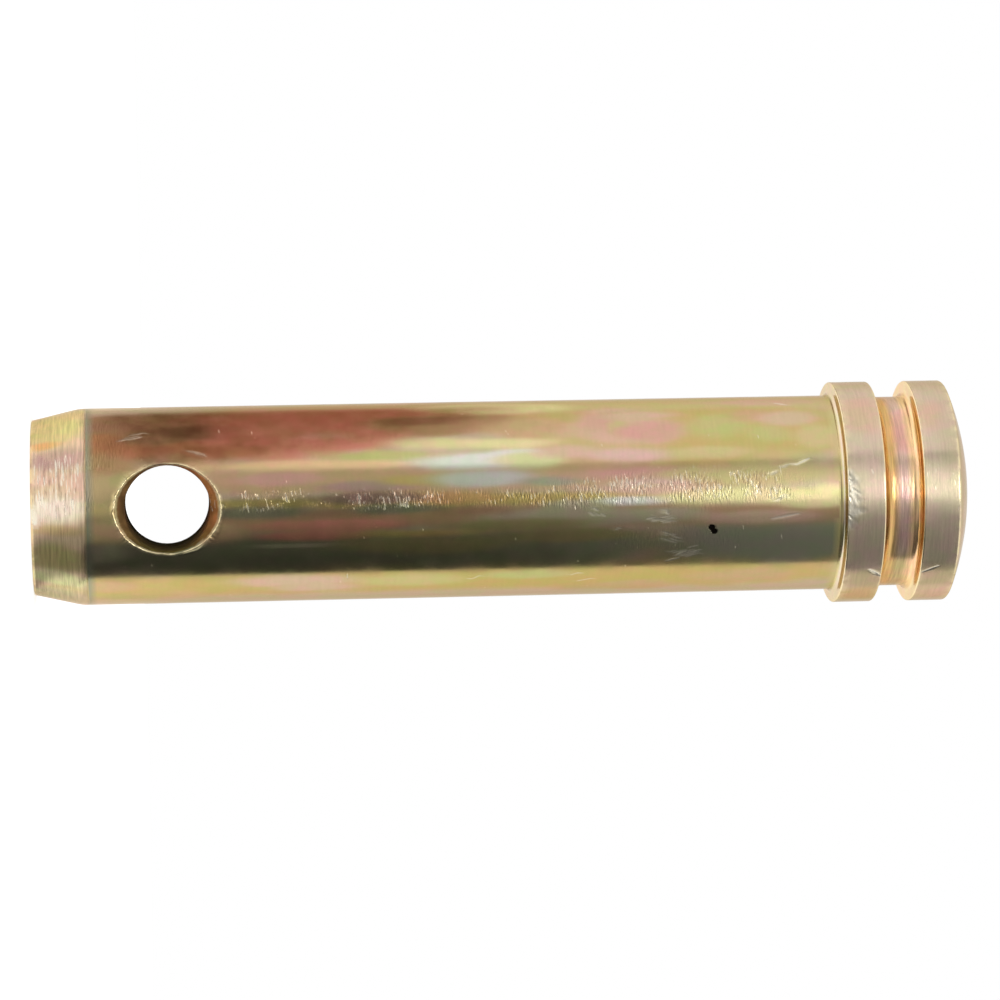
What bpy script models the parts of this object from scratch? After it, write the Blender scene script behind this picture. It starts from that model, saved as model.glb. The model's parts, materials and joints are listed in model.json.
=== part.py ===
"""Lower link pin, turned from one bar of steel, with a cross hole for a linch pin.

The pin stands on the flat end of its tapered tip. Its axis is Z, with the tip's end face at z = 0
and the domed head on top. The cross hole runs along Y. All sizes are in metres.
"""

from math import cos, pi, radians, sin, sqrt, tan

import bpy

# Shank, which carries the load
SHANK_DIAMETER = 0.028
GRIP_LENGTH = 0.1145  # from the tip's end face to the collar's seat

# Tapered tip, which finds the holes when the pin is pushed in
TIP_TAPER_LENGTH = 0.0068
TIP_TAPER_ANGLE = radians(13.2)
TIP_BLEND_RADIUS = 0.008  # rounds the corner between taper and shank
TIP_EDGE_BREAK = 0.00025

# Head: a collar, a groove and a domed end
HEAD_DIAMETER = 0.0318
COLLAR_LENGTH = 0.0055
GROOVE_WIDTH = 0.0054
GROOVE_DIAMETER = 0.0273
GROOVE_FRONT_FILLET = 0.0013
GROOVE_BACK_FILLET = 0.0008
CAP_LENGTH = 0.0052  # the straight part of the head past the groove
DOME_HEIGHT = 0.0033
SEAT_FILLET = 0.0007  # between shank and collar
HEAD_EDGE_BREAK = 0.00025

# Cross hole for the linch pin, countersunk at both ends
CROSS_HOLE_DIAMETER = 0.0121
CROSS_HOLE_HEIGHT = 0.019  # from the tip's end face
COUNTERSINK_DEPTH = 0.0022  # below the crest of the shank
COUNTERSINK_HALF_ANGLE = radians(35)
CUTTER_OVERRUN = 0.002

# Fineness of the facets
TURN_STEPS = 72
HOLE_STEPS = 48
ARC_STEP = radians(18)
DOME_RINGS = 8
SHARP_ANGLE = radians(25)
WELD_DISTANCE = 0.00001

STEEL_COLOUR = (0.62, 0.49, 0.27, 1.0)  # yellow zinc plating
STEEL_ROUGHNESS = 0.28


def clear_scene():
    for obj in list(bpy.data.objects):
        bpy.data.objects.remove(obj, do_unlink=True)


def arc(centre, radius, start, end):
    """Points (r, z) on an arc, both ends included. Angles are measured from +r towards +z."""
    steps = max(2, round(abs(end - start) / ARC_STEP))
    turns = (start + (end - start) * i / steps for i in range(steps + 1))
    return [(centre[0] + radius * cos(t), centre[1] + radius * sin(t)) for t in turns]


def dome(rim_radius, rim_height):
    """A shallow cap of a sphere, from its top on the axis down to its rim."""
    sphere_radius = (rim_radius**2 + DOME_HEIGHT**2) / (2 * DOME_HEIGHT)
    centre = rim_height + DOME_HEIGHT - sphere_radius
    points = []
    for i in range(DOME_RINGS + 1):
        radius = rim_radius * i / DOME_RINGS
        points.append((radius, centre + sqrt(sphere_radius**2 - radius**2)))
    return points


def head_profile():
    """The head from the top of its dome down to the inner edge of the collar's seat."""
    radius = HEAD_DIAMETER / 2
    root = GROOVE_DIAMETER / 2
    seat = GRIP_LENGTH
    groove_front = seat + COLLAR_LENGTH
    groove_back = groove_front + GROOVE_WIDTH
    top = groove_back + CAP_LENGTH
    shank = SHANK_DIAMETER / 2
    points = dome(radius - HEAD_EDGE_BREAK, top)
    points.append((radius, top - HEAD_EDGE_BREAK))
    points.append((radius, groove_back + HEAD_EDGE_BREAK))
    points.append((radius - HEAD_EDGE_BREAK, groove_back))
    back_centre = (root + GROOVE_BACK_FILLET, groove_back - GROOVE_BACK_FILLET)
    points += arc(back_centre, GROOVE_BACK_FILLET, pi / 2, pi)
    front_centre = (root + GROOVE_FRONT_FILLET, groove_front + GROOVE_FRONT_FILLET)
    points += arc(front_centre, GROOVE_FRONT_FILLET, pi, 3 * pi / 2)
    points.append((radius - HEAD_EDGE_BREAK, groove_front))
    points.append((radius, groove_front - HEAD_EDGE_BREAK))
    points.append((radius, seat + HEAD_EDGE_BREAK))
    points.append((radius - HEAD_EDGE_BREAK, seat))
    seat_centre = (shank + SEAT_FILLET, seat - SEAT_FILLET)
    points += arc(seat_centre, SEAT_FILLET, pi / 2, pi)
    return points


def tip_profile():
    """The tip from the start of its rounded shoulder down to the axis."""
    shank = SHANK_DIAMETER / 2
    blend_length = TIP_BLEND_RADIUS * tan(TIP_TAPER_ANGLE / 2)
    blend_centre = (shank - TIP_BLEND_RADIUS, TIP_TAPER_LENGTH + blend_length)
    points = arc(blend_centre, TIP_BLEND_RADIUS, 0, -TIP_TAPER_ANGLE)
    end_radius = shank - TIP_TAPER_LENGTH * tan(TIP_TAPER_ANGLE)
    points.append((end_radius + TIP_EDGE_BREAK * tan(TIP_TAPER_ANGLE), TIP_EDGE_BREAK))
    points.append((end_radius - TIP_EDGE_BREAK, 0))
    points.append((0, 0))
    return points


def cutter_profile():
    """Half of the hole tool's outline, as (r, distance along the hole), from one end to the other."""
    bore = CROSS_HOLE_DIAMETER / 2
    throat = SHANK_DIAMETER / 2 - COUNTERSINK_DEPTH
    reach = SHANK_DIAMETER / 2 + CUTTER_OVERRUN
    mouth = bore + (reach - throat) * tan(COUNTERSINK_HALF_ANGLE)
    upper = [(0, reach), (mouth, reach), (bore, throat)]
    return upper + [(r, -z) for r, z in reversed(upper)]


def turned(name, profile, steps):
    """An object whose profile, given from top to bottom, is turned about its own Z axis."""
    mesh = bpy.data.meshes.new(name)
    corners = [(r, 0, z) for r, z in profile]
    mesh.from_pydata(corners, [(i, i + 1) for i in range(len(corners) - 1)], [])
    obj = bpy.data.objects.new(name, mesh)
    bpy.context.collection.objects.link(obj)
    screw = obj.modifiers.new("Turn", "SCREW")
    screw.angle = 2 * pi
    screw.steps = steps
    screw.render_steps = steps
    screw.use_merge_vertices = True
    screw.merge_threshold = WELD_DISTANCE
    return obj


def plated_steel():
    material = bpy.data.materials.new("plated_steel")
    material.use_nodes = True
    shader = material.node_tree.nodes["Principled BSDF"]
    shader.inputs["Base Color"].default_value = STEEL_COLOUR
    shader.inputs["Metallic"].default_value = 1.0
    shader.inputs["Roughness"].default_value = STEEL_ROUGHNESS
    return material


def make_hole_cutter():
    cutter = turned("cross_hole_cutter", cutter_profile(), HOLE_STEPS)
    cutter.location = (0, 0, CROSS_HOLE_HEIGHT)
    cutter.rotation_euler = (pi / 2, 0, 0)
    cutter.hide_render = True
    cutter.display_type = "WIRE"
    return cutter


def make_pin():
    pin = turned("lower_link_pin", head_profile() + tip_profile(), TURN_STEPS)
    drill = pin.modifiers.new("Cross hole", "BOOLEAN")
    drill.operation = "DIFFERENCE"
    drill.solver = "EXACT"
    drill.object = make_hole_cutter()
    return pin


def finish_surface(obj):
    """Settles the modifiers into the mesh, so that its edges can be shaded by their angle."""
    bpy.context.view_layer.update()
    evaluated = obj.evaluated_get(bpy.context.evaluated_depsgraph_get())
    settled = bpy.data.meshes.new_from_object(evaluated)
    obj.modifiers.clear()
    obj.data = settled
    settled.materials.clear()
    settled.materials.append(plated_steel())
    settled.shade_smooth()
    settled.set_sharp_from_angle(angle=SHARP_ANGLE)


clear_scene()
finish_surface(make_pin())
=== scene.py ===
# %% [markdown]
# # A plated lower link pin
# This pin joins the lower arm of a tractor's hitch to a tool behind it. It is turned from one bar of
# steel, drilled across near its tip for a linch pin, and plated with yellow zinc, whose thin clear
# film breaks light into gold, pink and green. The lesson builds the pin's fine surface, which is
# shown in place of the engineering model, then its finish, and then the studio that a shiny round
# thing needs.

# %% Load the engineering model
from math import atan2, cos, exp, hypot, pi, radians, sin, sqrt, tan
from random import Random

import bmesh
import bpy
import json
from mathutils import Matrix, Vector, kdtree, noise

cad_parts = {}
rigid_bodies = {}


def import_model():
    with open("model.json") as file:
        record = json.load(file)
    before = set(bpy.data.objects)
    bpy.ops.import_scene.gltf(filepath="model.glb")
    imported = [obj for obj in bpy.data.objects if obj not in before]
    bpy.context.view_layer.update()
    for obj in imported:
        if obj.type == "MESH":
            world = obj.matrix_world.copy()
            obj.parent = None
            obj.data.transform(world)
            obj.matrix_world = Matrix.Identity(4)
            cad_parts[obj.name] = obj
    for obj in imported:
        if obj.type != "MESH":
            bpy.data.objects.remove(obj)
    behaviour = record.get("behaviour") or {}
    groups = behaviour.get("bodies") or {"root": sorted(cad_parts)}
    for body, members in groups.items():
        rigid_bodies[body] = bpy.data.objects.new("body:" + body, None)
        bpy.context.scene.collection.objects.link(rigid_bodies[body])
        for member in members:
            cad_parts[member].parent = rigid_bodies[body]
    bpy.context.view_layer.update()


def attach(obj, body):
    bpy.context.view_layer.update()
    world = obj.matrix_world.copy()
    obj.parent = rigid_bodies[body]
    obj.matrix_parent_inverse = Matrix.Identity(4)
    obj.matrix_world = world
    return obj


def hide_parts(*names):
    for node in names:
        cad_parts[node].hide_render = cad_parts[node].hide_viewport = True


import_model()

MM = 0.001

# %% [markdown]
# ## Camera
# The photo looks at the pin from the side through a long lens, with the pin's axis across the
# picture. The pin stands upright on its tip here, so the camera is rolled by a quarter turn: up in
# the picture is the -X direction, and the head is to the right. The camera is turned a few degrees
# towards the head, and the cross hole a little over two degrees about the pin's axis.

# %% Camera
LENS_MM = 141.27
SENSOR_MM = 36.0
CAMERA_AZIMUTH = radians(2.39)  # about the pin's axis, measured from -Y towards -X
CAMERA_DISTANCE = 561.87 * MM
CAMERA_HEIGHT = 18.97 * MM
LOOK_UP = radians(4.851)
ROLL = radians(1.133)
LOOK_DOWN_PICTURE = radians(0.0203)
NEAREST_SEEN = 10 * MM


def camera_axes():
    """The camera's right, up and backward directions."""
    towards = Vector((-sin(CAMERA_AZIMUTH), -cos(CAMERA_AZIMUTH), 0))
    axis = Vector((0, 0, 1))
    right = cos(LOOK_UP) * axis + sin(LOOK_UP) * towards
    back = cos(LOOK_UP) * towards - sin(LOOK_UP) * axis
    up = towards.cross(axis)
    right, up = cos(ROLL) * right - sin(ROLL) * up, sin(ROLL) * right + cos(ROLL) * up
    up, back = (cos(LOOK_DOWN_PICTURE) * up - sin(LOOK_DOWN_PICTURE) * back,
                cos(LOOK_DOWN_PICTURE) * back + sin(LOOK_DOWN_PICTURE) * up)
    return towards, right, up, back


towards_camera, right, up, back = camera_axes()
camera = bpy.data.objects.new("camera", bpy.data.cameras.new("camera"))
camera.data.lens = LENS_MM
camera.data.sensor_width = SENSOR_MM
camera.data.clip_start = NEAREST_SEEN
turn = Matrix((right, up, back)).transposed().to_4x4()
camera_place = towards_camera * CAMERA_DISTANCE + Vector((0, 0, CAMERA_HEIGHT))
camera.matrix_world = Matrix.Translation(camera_place) @ turn
bpy.context.collection.objects.link(camera)
bpy.context.scene.camera = camera
bpy.context.scene.view_settings.view_transform = "Standard"
print("camera at", [round(v, 4) for v in camera.matrix_world.translation])

# %% [markdown]
# ## Small helpers for node trees
# Shaders, the world and Geometry Nodes are all trees of nodes. A few short helpers keep the trees
# readable. One feeds a socket, one makes a node with its settings and inputs, and one does a sum.
# Another eases a value between two limits, one blends two colours by a mask, and the last reads a
# number that the mesh carries for each of its points.

# %% Node helpers


def feed(tree, socket, value):
    """Links value to the socket if it is another socket, or else sets it."""
    if isinstance(value, bpy.types.NodeSocket):
        tree.links.new(value, socket)
    else:
        socket.default_value = value


def add(tree, kind, inputs=None, **settings):
    made = tree.nodes.new(kind)
    for key, value in settings.items():
        setattr(made, key, value)
    for key, value in (inputs or {}).items():
        feed(tree, made.inputs[key], value)
    return made


def calc(tree, operation, *values):
    made = add(tree, "ShaderNodeMath", operation=operation)
    for socket, value in zip(made.inputs, values):
        feed(tree, socket, value)
    return made.outputs[0]


def between(tree, value, low, high, to_low=0.0, to_high=1.0):
    """value's place between low and high, eased at both ends."""
    made = add(tree, "ShaderNodeMapRange", {"Value": value}, interpolation_type="SMOOTHSTEP")
    made.inputs["From Min"].default_value = low
    made.inputs["From Max"].default_value = high
    made.inputs["To Min"].default_value = to_low
    made.inputs["To Max"].default_value = to_high
    return made.outputs[0]


def blend(tree, mask, a, b, mode="MIX"):
    """Colour a where mask is 0 and b where it is 1."""
    made = add(tree, "ShaderNodeMix", data_type="RGBA", blend_type=mode)
    feed(tree, made.inputs["Factor"], mask)
    feed(tree, made.inputs[6], a)
    feed(tree, made.inputs[7], b)
    return made.outputs[2]


def attribute(tree, name):
    return add(tree, "ShaderNodeAttribute", attribute_name=name).outputs["Fac"]


print("node helpers:", [helper.__name__ for helper in (feed, add, calc, between, blend, attribute)])

# %% [markdown]
# ## The pin's outline
# A turned part is one outline spun about its axis. The outline is written as corners, each with the
# radius of the small rounding that a real tool leaves there. Sharp corners look false on shiny
# metal, because a real edge always catches a thin line of light.

# %% Outline of the pin
SHANK = 14.0 * MM
HEAD = 15.9 * MM
GROOVE_ROOT = 13.65 * MM
TAPER_LENGTH = 6.8 * MM
TAPER_BLEND = 0.9 * MM  # how far the taper's finish runs on over the rounding
TAPER_ANGLE = radians(13.2)
TIP_END = SHANK - TAPER_LENGTH * tan(TAPER_ANGLE)  # radius of the flat end face
SEAT = 114.5 * MM
GROOVE_FRONT = 120.0 * MM
GROOVE_BACK = 125.4 * MM
DOME_RIM = 130.6 * MM
DOME_HEIGHT = 3.3 * MM
CORNERS = [
    # radius from the axis, height, rounding
    (0.0, 0.0, 0.0),
    (TIP_END, 0.0, 0.3 * MM),
    (SHANK, TAPER_LENGTH, 8.0 * MM),
    (SHANK, SEAT, 0.7 * MM),
    (HEAD, SEAT, 0.20 * MM),
    (HEAD, GROOVE_FRONT, 0.25 * MM),
    (GROOVE_ROOT, GROOVE_FRONT, 1.6 * MM),
    (GROOVE_ROOT, GROOVE_BACK, 1.0 * MM),
    (HEAD, GROOVE_BACK, 0.22 * MM),
    (HEAD, DOME_RIM, 0.35 * MM),
]
ROUNDING_STEPS = 5
DOME_ROWS = 22
ROW_STEP = 1.0 * MM
SUPPORT = 0.12 * MM  # a row just beside each rounding keeps the shading true
HOLE_HEIGHT = 19.0 * MM
WINDOW_HALF = 10.0 * MM  # half the height of the opening cut for the cross hole


def rounded(before, corner, after, radius):
    """Points of the arc that rounds a corner of the outline."""
    c = Vector(corner)
    a = (Vector(before) - c).normalized()
    b = (Vector(after) - c).normalized()
    half = a.angle(b) / 2
    reach = radius / tan(half)
    centre = c + (a + b).normalized() * (radius / sin(half))
    start, end = c + a * reach - centre, c + b * reach - centre
    sweep = start.angle(end)
    points = []
    for i in range(ROUNDING_STEPS + 1):
        t = i / ROUNDING_STEPS
        points.append(centre + (start * sin((1 - t) * sweep) + end * sin(t * sweep)) / sin(sweep))
    return points


def dome_points():
    """The shallow dome from its rim to its top on the axis."""
    ball = (HEAD**2 + DOME_HEIGHT**2) / (2 * DOME_HEIGHT)
    centre = DOME_RIM + DOME_HEIGHT - ball
    radii = [HEAD * (1 - (i / DOME_ROWS)) for i in range(1, DOME_ROWS + 1)]
    return [Vector((r, centre + sqrt(ball**2 - r**2))) for r in radii]


def outline():
    """All points of the outline, from the middle of the tip's end face to the top of the dome."""
    top = dome_points()
    ends = [c[:2] for c in CORNERS] + [top[0][:]]
    points = [Vector(ends[0])]
    for i in range(1, len(CORNERS)):
        points += rounded(ends[i - 1], ends[i], ends[i + 1], CORNERS[i][2])
    points += top
    filled = [points[0]]
    for p in points[1:]:
        last = filled[-1]
        gap = (p - last).length
        if gap > ROW_STEP:
            count = round((gap - 2 * SUPPORT) / ROW_STEP) or 1
            inner = [SUPPORT + (gap - 2 * SUPPORT) * i / count for i in range(count + 1)]
            filled += [last.lerp(p, distance / gap) for distance in inner]
        filled.append(p)
    for edge in (HOLE_HEIGHT - WINDOW_HALF, HOLE_HEIGHT + WINDOW_HALF):
        min(filled, key=lambda p: abs(p.y - edge) + abs(p.x - SHANK)).y = edge
    return filled


profile = outline()
print("outline has", len(profile), "points")

# %% [markdown]
# ## Turning the outline
# Spinning an outline is a rule that a Geometry Nodes tree states well. A flat grid gives each
# outline point a row and each step of the turn a column. Every grid point then looks up its outline
# point and swings out to its place. Merging closes the seam at the back and the two poles.

# %% Geometry Nodes tree that turns an outline
STEPS = 288
WINDOW_COLUMNS = 29  # half the width of the opening cut for the cross hole, in columns
WELD = 0.000002


def turning_tree():
    tree = bpy.data.node_groups.new("turn_an_outline", "GeometryNodeTree")
    inputs = {"Outline": "Geometry", "Steps": "Int", "Weld Distance": "Float", "Material": "Material"}
    for name, kind in inputs.items():
        tree.interface.new_socket(name, in_out="INPUT", socket_type="NodeSocket" + kind)
    tree.interface.new_socket("Turned", in_out="OUTPUT", socket_type="NodeSocketGeometry")
    given = add(tree, "NodeGroupInput").outputs
    size = add(tree, "GeometryNodeAttributeDomainSize", {"Geometry": given["Outline"]})
    count = size.outputs["Point Count"]
    steps = given["Steps"]
    rows = calc(tree, "SUBTRACT", count, 1.0)
    columns = calc(tree, "ADD", steps, 1.0)
    grid = add(tree, "GeometryNodeMeshGrid", {"Vertices X": count, "Vertices Y": columns})
    feed(tree, grid.inputs["Size X"], rows)
    feed(tree, grid.inputs["Size Y"], steps)
    place = add(tree, "GeometryNodeInputPosition").outputs[0]
    flat = add(tree, "ShaderNodeSeparateXYZ", {"Vector": place}).outputs
    row = calc(tree, "ROUND", calc(tree, "ADD", flat["X"], calc(tree, "DIVIDE", rows, 2.0)))
    column = calc(tree, "ADD", flat["Y"], calc(tree, "DIVIDE", steps, 2.0))
    angle = calc(tree, "MULTIPLY", calc(tree, "DIVIDE", column, steps), 2 * pi)
    sample = add(tree, "GeometryNodeSampleIndex", {"Geometry": given["Outline"]}, data_type="FLOAT_VECTOR")
    feed(tree, sample.inputs["Value"], add(tree, "GeometryNodeInputPosition").outputs[0])
    feed(tree, sample.inputs["Index"], row)
    found = add(tree, "ShaderNodeSeparateXYZ", {"Vector": sample.outputs[0]}).outputs
    back_out = calc(tree, "MULTIPLY", found["X"], -1.0)
    swung = add(tree, "ShaderNodeCombineXYZ", {"Z": found["Z"]})
    feed(tree, swung.inputs["X"], calc(tree, "MULTIPLY", back_out, calc(tree, "SINE", angle)))
    feed(tree, swung.inputs["Y"], calc(tree, "MULTIPLY", back_out, calc(tree, "COSINE", angle)))
    placed = add(tree, "GeometryNodeSetPosition", {"Geometry": grid.outputs["Mesh"]})
    feed(tree, placed.inputs["Position"], swung.outputs[0])
    welded = add(tree, "GeometryNodeMergeByDistance", {"Geometry": placed.outputs[0]})
    feed(tree, welded.inputs["Distance"], given["Weld Distance"])
    smooth = add(tree, "GeometryNodeSetShadeSmooth", {"Geometry": welded.outputs[0]})
    real = add(tree, "GeometryNodeRealizeInstances", {"Geometry": smooth.outputs[0]})
    dressed = add(tree, "GeometryNodeSetMaterial", {"Geometry": real.outputs[0]})
    feed(tree, dressed.inputs["Material"], given["Material"])
    add(tree, "NodeGroupOutput", {"Turned": dressed.outputs[0]})
    return tree


def turned_mesh(points, material):
    line = bpy.data.meshes.new("outline")
    links = [(i, i + 1) for i in range(len(points) - 1)]
    line.from_pydata([(p.x, 0.0, p.y) for p in points], links, [])
    holder = bpy.data.objects.new("outline", line)
    bpy.context.collection.objects.link(holder)
    modifier = holder.modifiers.new("Turn", "NODES")
    tree = turning_tree()
    modifier.node_group = tree
    values = {"Steps": STEPS, "Weld Distance": WELD, "Material": material}
    for socket in tree.interface.items_tree:
        if socket.in_out == "INPUT" and socket.name in values:
            modifier[socket.identifier] = values[socket.name]
    bpy.context.view_layer.update()
    evaluated = holder.evaluated_get(bpy.context.evaluated_depsgraph_get())
    mesh = bpy.data.meshes.new_from_object(evaluated)
    holder.modifiers.clear()
    bpy.data.objects.remove(holder, do_unlink=True)
    mesh.name = "pin"
    return mesh


shank_steel = bpy.data.materials.new("plated_ground_steel")
turned_steel = bpy.data.materials.new("plated_turned_steel")
drilled_steel = bpy.data.materials.new("plated_drilled_steel")
faced_steel = bpy.data.materials.new("plated_faced_steel")
pin_mesh = turned_mesh(profile, shank_steel)
print("turned body:", len(pin_mesh.vertices), "points,", len(pin_mesh.polygons), "faces")

# %% [markdown]
# ## The cross hole
# A boolean cut would leave long thin triangles around the hole, and they spoil a reflection. So a
# window is cut out of the turned body around each mouth, and a sleeve of even rings runs from one
# window to the other: over the shank, round a slightly ragged rim, down the countersink and through
# the bore. The drill pushed up a small burr, which sits at the rim's lower right in the photo.

# %% Sleeve through the pin
BORE = 6.05 * MM
COUNTERSINK_DEPTH = 2.2 * MM
THROAT = SHANK - COUNTERSINK_DEPTH
CONE_SLOPE = tan(radians(35))
RIM_SEARCH_STEPS = 12
WINDOW_HALF_TURN = WINDOW_COLUMNS * 2 * pi / STEPS
SKIN_RINGS = (0.18, 0.36, 0.52, 0.66, 0.78, 0.87, 0.94, 0.98, 1.0)
ROUND_RINGS = (0.2, 0.4, 0.6, 0.8, 1.0)
CONE_RINGS = (0.3, 0.6, 0.9, 1.0)
BORE_RINGS = 16
FRONT, BACK = -1, 1
GROUND, TURNED, DRILLED, FACED = 0, 1, 2, 3  # the materials' places in the mesh's list
RIM_ROUNDING = 0.18 * MM
RIM_INSET = 0.16 * MM  # how much smaller than the sharp countersink the rim is
RIM_WANDER = 0.06 * MM
RIM_RAGGED = 0.08 * MM
BURR_AT = radians(42)
BURR_LOW = 0.03 * MM
BURR_HIGH = 0.26 * MM
BURR_NARROW = 10  # the higher, the shorter the stretch of rim that the burr takes
LIFT_FROM, LIFT_RISE = 0.9, 6  # where, from the window to the rim, the burr starts to lift the shank
EDGE_FROM, EDGE_RISE = 0.92, 8  # the same for the bright edge
ROUND_IN, ROUND_DOWN = 0.57, 0.82  # share of the rounding towards the hole's axis and down the cone


def azimuth(co):
    """Angle about the pin's axis, from -Y, where the camera is, towards -X."""
    return atan2(-co.x, -co.y)


def rim_radius(theta):
    """Distance from the hole's axis at which the countersink meets the round shank."""
    rho = BORE
    for _ in range(RIM_SEARCH_STEPS):
        rho = BORE + (sqrt(SHANK**2 - (rho * cos(theta)) ** 2) - THROAT) * CONE_SLOPE
    return rho


def rim_noise(theta, side, detail):
    return noise.noise(Vector((cos(theta) * detail, sin(theta) * detail, 7.3 * side)))


def burr(theta, side):
    """How far the rim stands up from the shank."""
    height = BURR_LOW * (1 + 1.4 * rim_noise(theta, side, 9.0) + 2.0 * rim_noise(theta, side, 36.0))
    if side == FRONT:
        near_burr = max(0.0, cos(theta - BURR_AT)) ** BURR_NARROW
        height += BURR_HIGH * near_burr * (1 + 0.8 * rim_noise(theta, 3, 14.0))
    return height


def spoke(theta, x, z, side):
    """Points from the window's edge over the rim to the throat, and how much of an edge each is."""
    rho = rim_radius(theta) - RIM_INSET + RIM_WANDER * rim_noise(theta, side, 6.0)
    rho += RIM_RAGGED * rim_noise(theta, side, 31.0)
    soft = RIM_ROUNDING * (1 + 0.6 * rim_noise(theta, side, 11.0) + 0.9 * rim_noise(theta, side, 40.0))
    lift = burr(theta, side)

    def skin(px, pz, raised=0.0):
        y = sqrt(SHANK**2 - px**2)
        grow = (SHANK + raised) / SHANK
        return Vector((px * grow, side * y * grow, pz))

    start = Vector(((rho + soft) * cos(theta), (rho + soft) * sin(theta) + HOLE_HEIGHT))
    points = []
    for t in SKIN_RINGS:
        p = Vector((x, z)).lerp(start, t)
        raised = lift * max(0.0, t - LIFT_FROM) * LIFT_RISE
        points.append((skin(p.x, p.y, raised), max(0.0, t - EDGE_FROM) * EDGE_RISE))
    first = points[-1][0]
    corner = skin(rho * cos(theta), rho * sin(theta) + HOLE_HEIGHT, lift)
    inner = rho - soft * ROUND_IN
    depth = (abs(corner.y) - soft * ROUND_DOWN) * side
    last = Vector((inner * cos(theta), depth, inner * sin(theta) + HOLE_HEIGHT))
    for t in ROUND_RINGS:
        p = first * (1 - t) ** 2 + corner * (2 * t * (1 - t)) + last * t**2
        points.append((p, 1.0 if t < 0.9 else 0.6))
    throat = Vector((BORE * cos(theta), side * THROAT, BORE * sin(theta) + HOLE_HEIGHT))
    for t in CONE_RINGS:
        points.append((last.lerp(throat, t), 0.0))
    return points


def cut_cross_hole(bm, edge_layer):
    def in_window(face):
        co = face.calc_center_median()
        turn = abs(azimuth(co))
        near = turn < WINDOW_HALF_TURN or turn > pi - WINDOW_HALF_TURN
        return near and abs(co.z - HOLE_HEIGHT) < WINDOW_HALF

    gone = [f for f in bm.faces if in_window(f)]
    bmesh.ops.delete(bm, geom=gone, context="FACES")
    rims = {FRONT: [], BACK: []}
    for v in bm.verts:
        if v.is_boundary:
            rims[FRONT if v.co.y < 0 else BACK].append(v)
    sides = {}
    for side, verts in rims.items():
        verts.sort(key=lambda v: atan2(v.co.z - HOLE_HEIGHT, v.co.x))
        rings = [verts]
        spokes = [spoke(atan2(v.co.z - HOLE_HEIGHT, v.co.x), v.co.x, v.co.z, side) for v in verts]
        for i in range(len(spokes[0])):
            ring = []
            for points in spokes:
                made = bm.verts.new(points[i][0])
                made[edge_layer] = points[i][1]
                ring.append(made)
            rings.append(ring)
        sides[side] = rings
    drilled_from = 1 + len(SKIN_RINGS) + len(ROUND_RINGS)
    bore = []
    for i in range(1, BORE_RINGS):
        y = THROAT * (2 * i / BORE_RINGS - 1)
        bore.append([bm.verts.new((v.co.x, y, v.co.z)) for v in sides[FRONT][-1]])
    run = sides[FRONT] + bore + sides[BACK][::-1]
    count = len(rims[FRONT])
    last_drilled = len(run) - drilled_from - 1
    for i in range(len(run) - 1):
        for k in range(count):
            n = (k + 1) % count
            face = bm.faces.new((run[i][k], run[i][n], run[i + 1][n], run[i + 1][k]))
            face.smooth = True
            face.material_index = DRILLED if drilled_from - 1 <= i <= last_drilled else GROUND
    return count


pin_mesh.materials.clear()
for steel in (shank_steel, turned_steel, drilled_steel, faced_steel):
    pin_mesh.materials.append(steel)
bm = bmesh.new()
bm.from_mesh(pin_mesh)
edge_layer = bm.verts.layers.float.new("edge")
spokes = cut_cross_hole(bm, edge_layer)
print("cross hole has", spokes, "spokes")

# %% [markdown]
# ## Knocks from handling
# Loose pins knock against each other in a bin. Large knocks change the outline, so they are cut
# into the mesh. Gouges are single scratches, and one long one is the chip on the tip's edge. Smears
# are bundles of shallow strokes that run nearly the same way. The bruise is a crumpled stretch of
# the collar's leading edge, and the pit is a small hole in the shank, painted near black as shade. Around
# each knock the
# faces are divided first, and then the points are pressed in. A gouge in the shank also pushes up a
# small lip of metal on both sides.

# %% Gouges, smears, bruise and pit
GOUGES = [
    # height and angle of one end, the same of the other end, half width, depth
    (115.00, 4.5, 116.20, 0.8, 0.24, 0.04),
    (114.60, -9.5, 115.20, -12.4, 0.26, 0.06),
    (114.60, 9.0, 115.10, 6.0, 0.22, 0.06),
    (118.10, -42.0, 119.75, -46.5, 0.34, 0.16),
    (125.75, -44.5, 128.00, -40.2, 0.20, 0.09),
    (107.40, 18.6, 109.40, 22.4, 0.22, 0.05),
    (104.00, -12.4, 107.90, -9.6, 0.30, 0.020),
    (105.80, 69.5, 107.60, 66.0, 0.18, 0.04),
    (0.15, 0.5, 0.60, -7.5, 0.95, 0.28),
    (61.5, -52.0, 63.0, -47.5, 0.09, 0.015),
    (75.4, -50.0, 77.4, -46.5, 0.09, 0.015),
    (76.6, -56.0, 79.0, -53.0, 0.10, 0.015),
    (61.2, -96.0, 63.4, -88.0, 0.26, 0.05),
    (96.0, 141.0, 99.5, 147.0, 0.30, 0.05),
    (114.6, 160.0, 115.3, 154.0, 0.30, 0.16),
    (47.0, -152.0, 50.5, -158.0, 0.30, 0.04),
]
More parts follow.
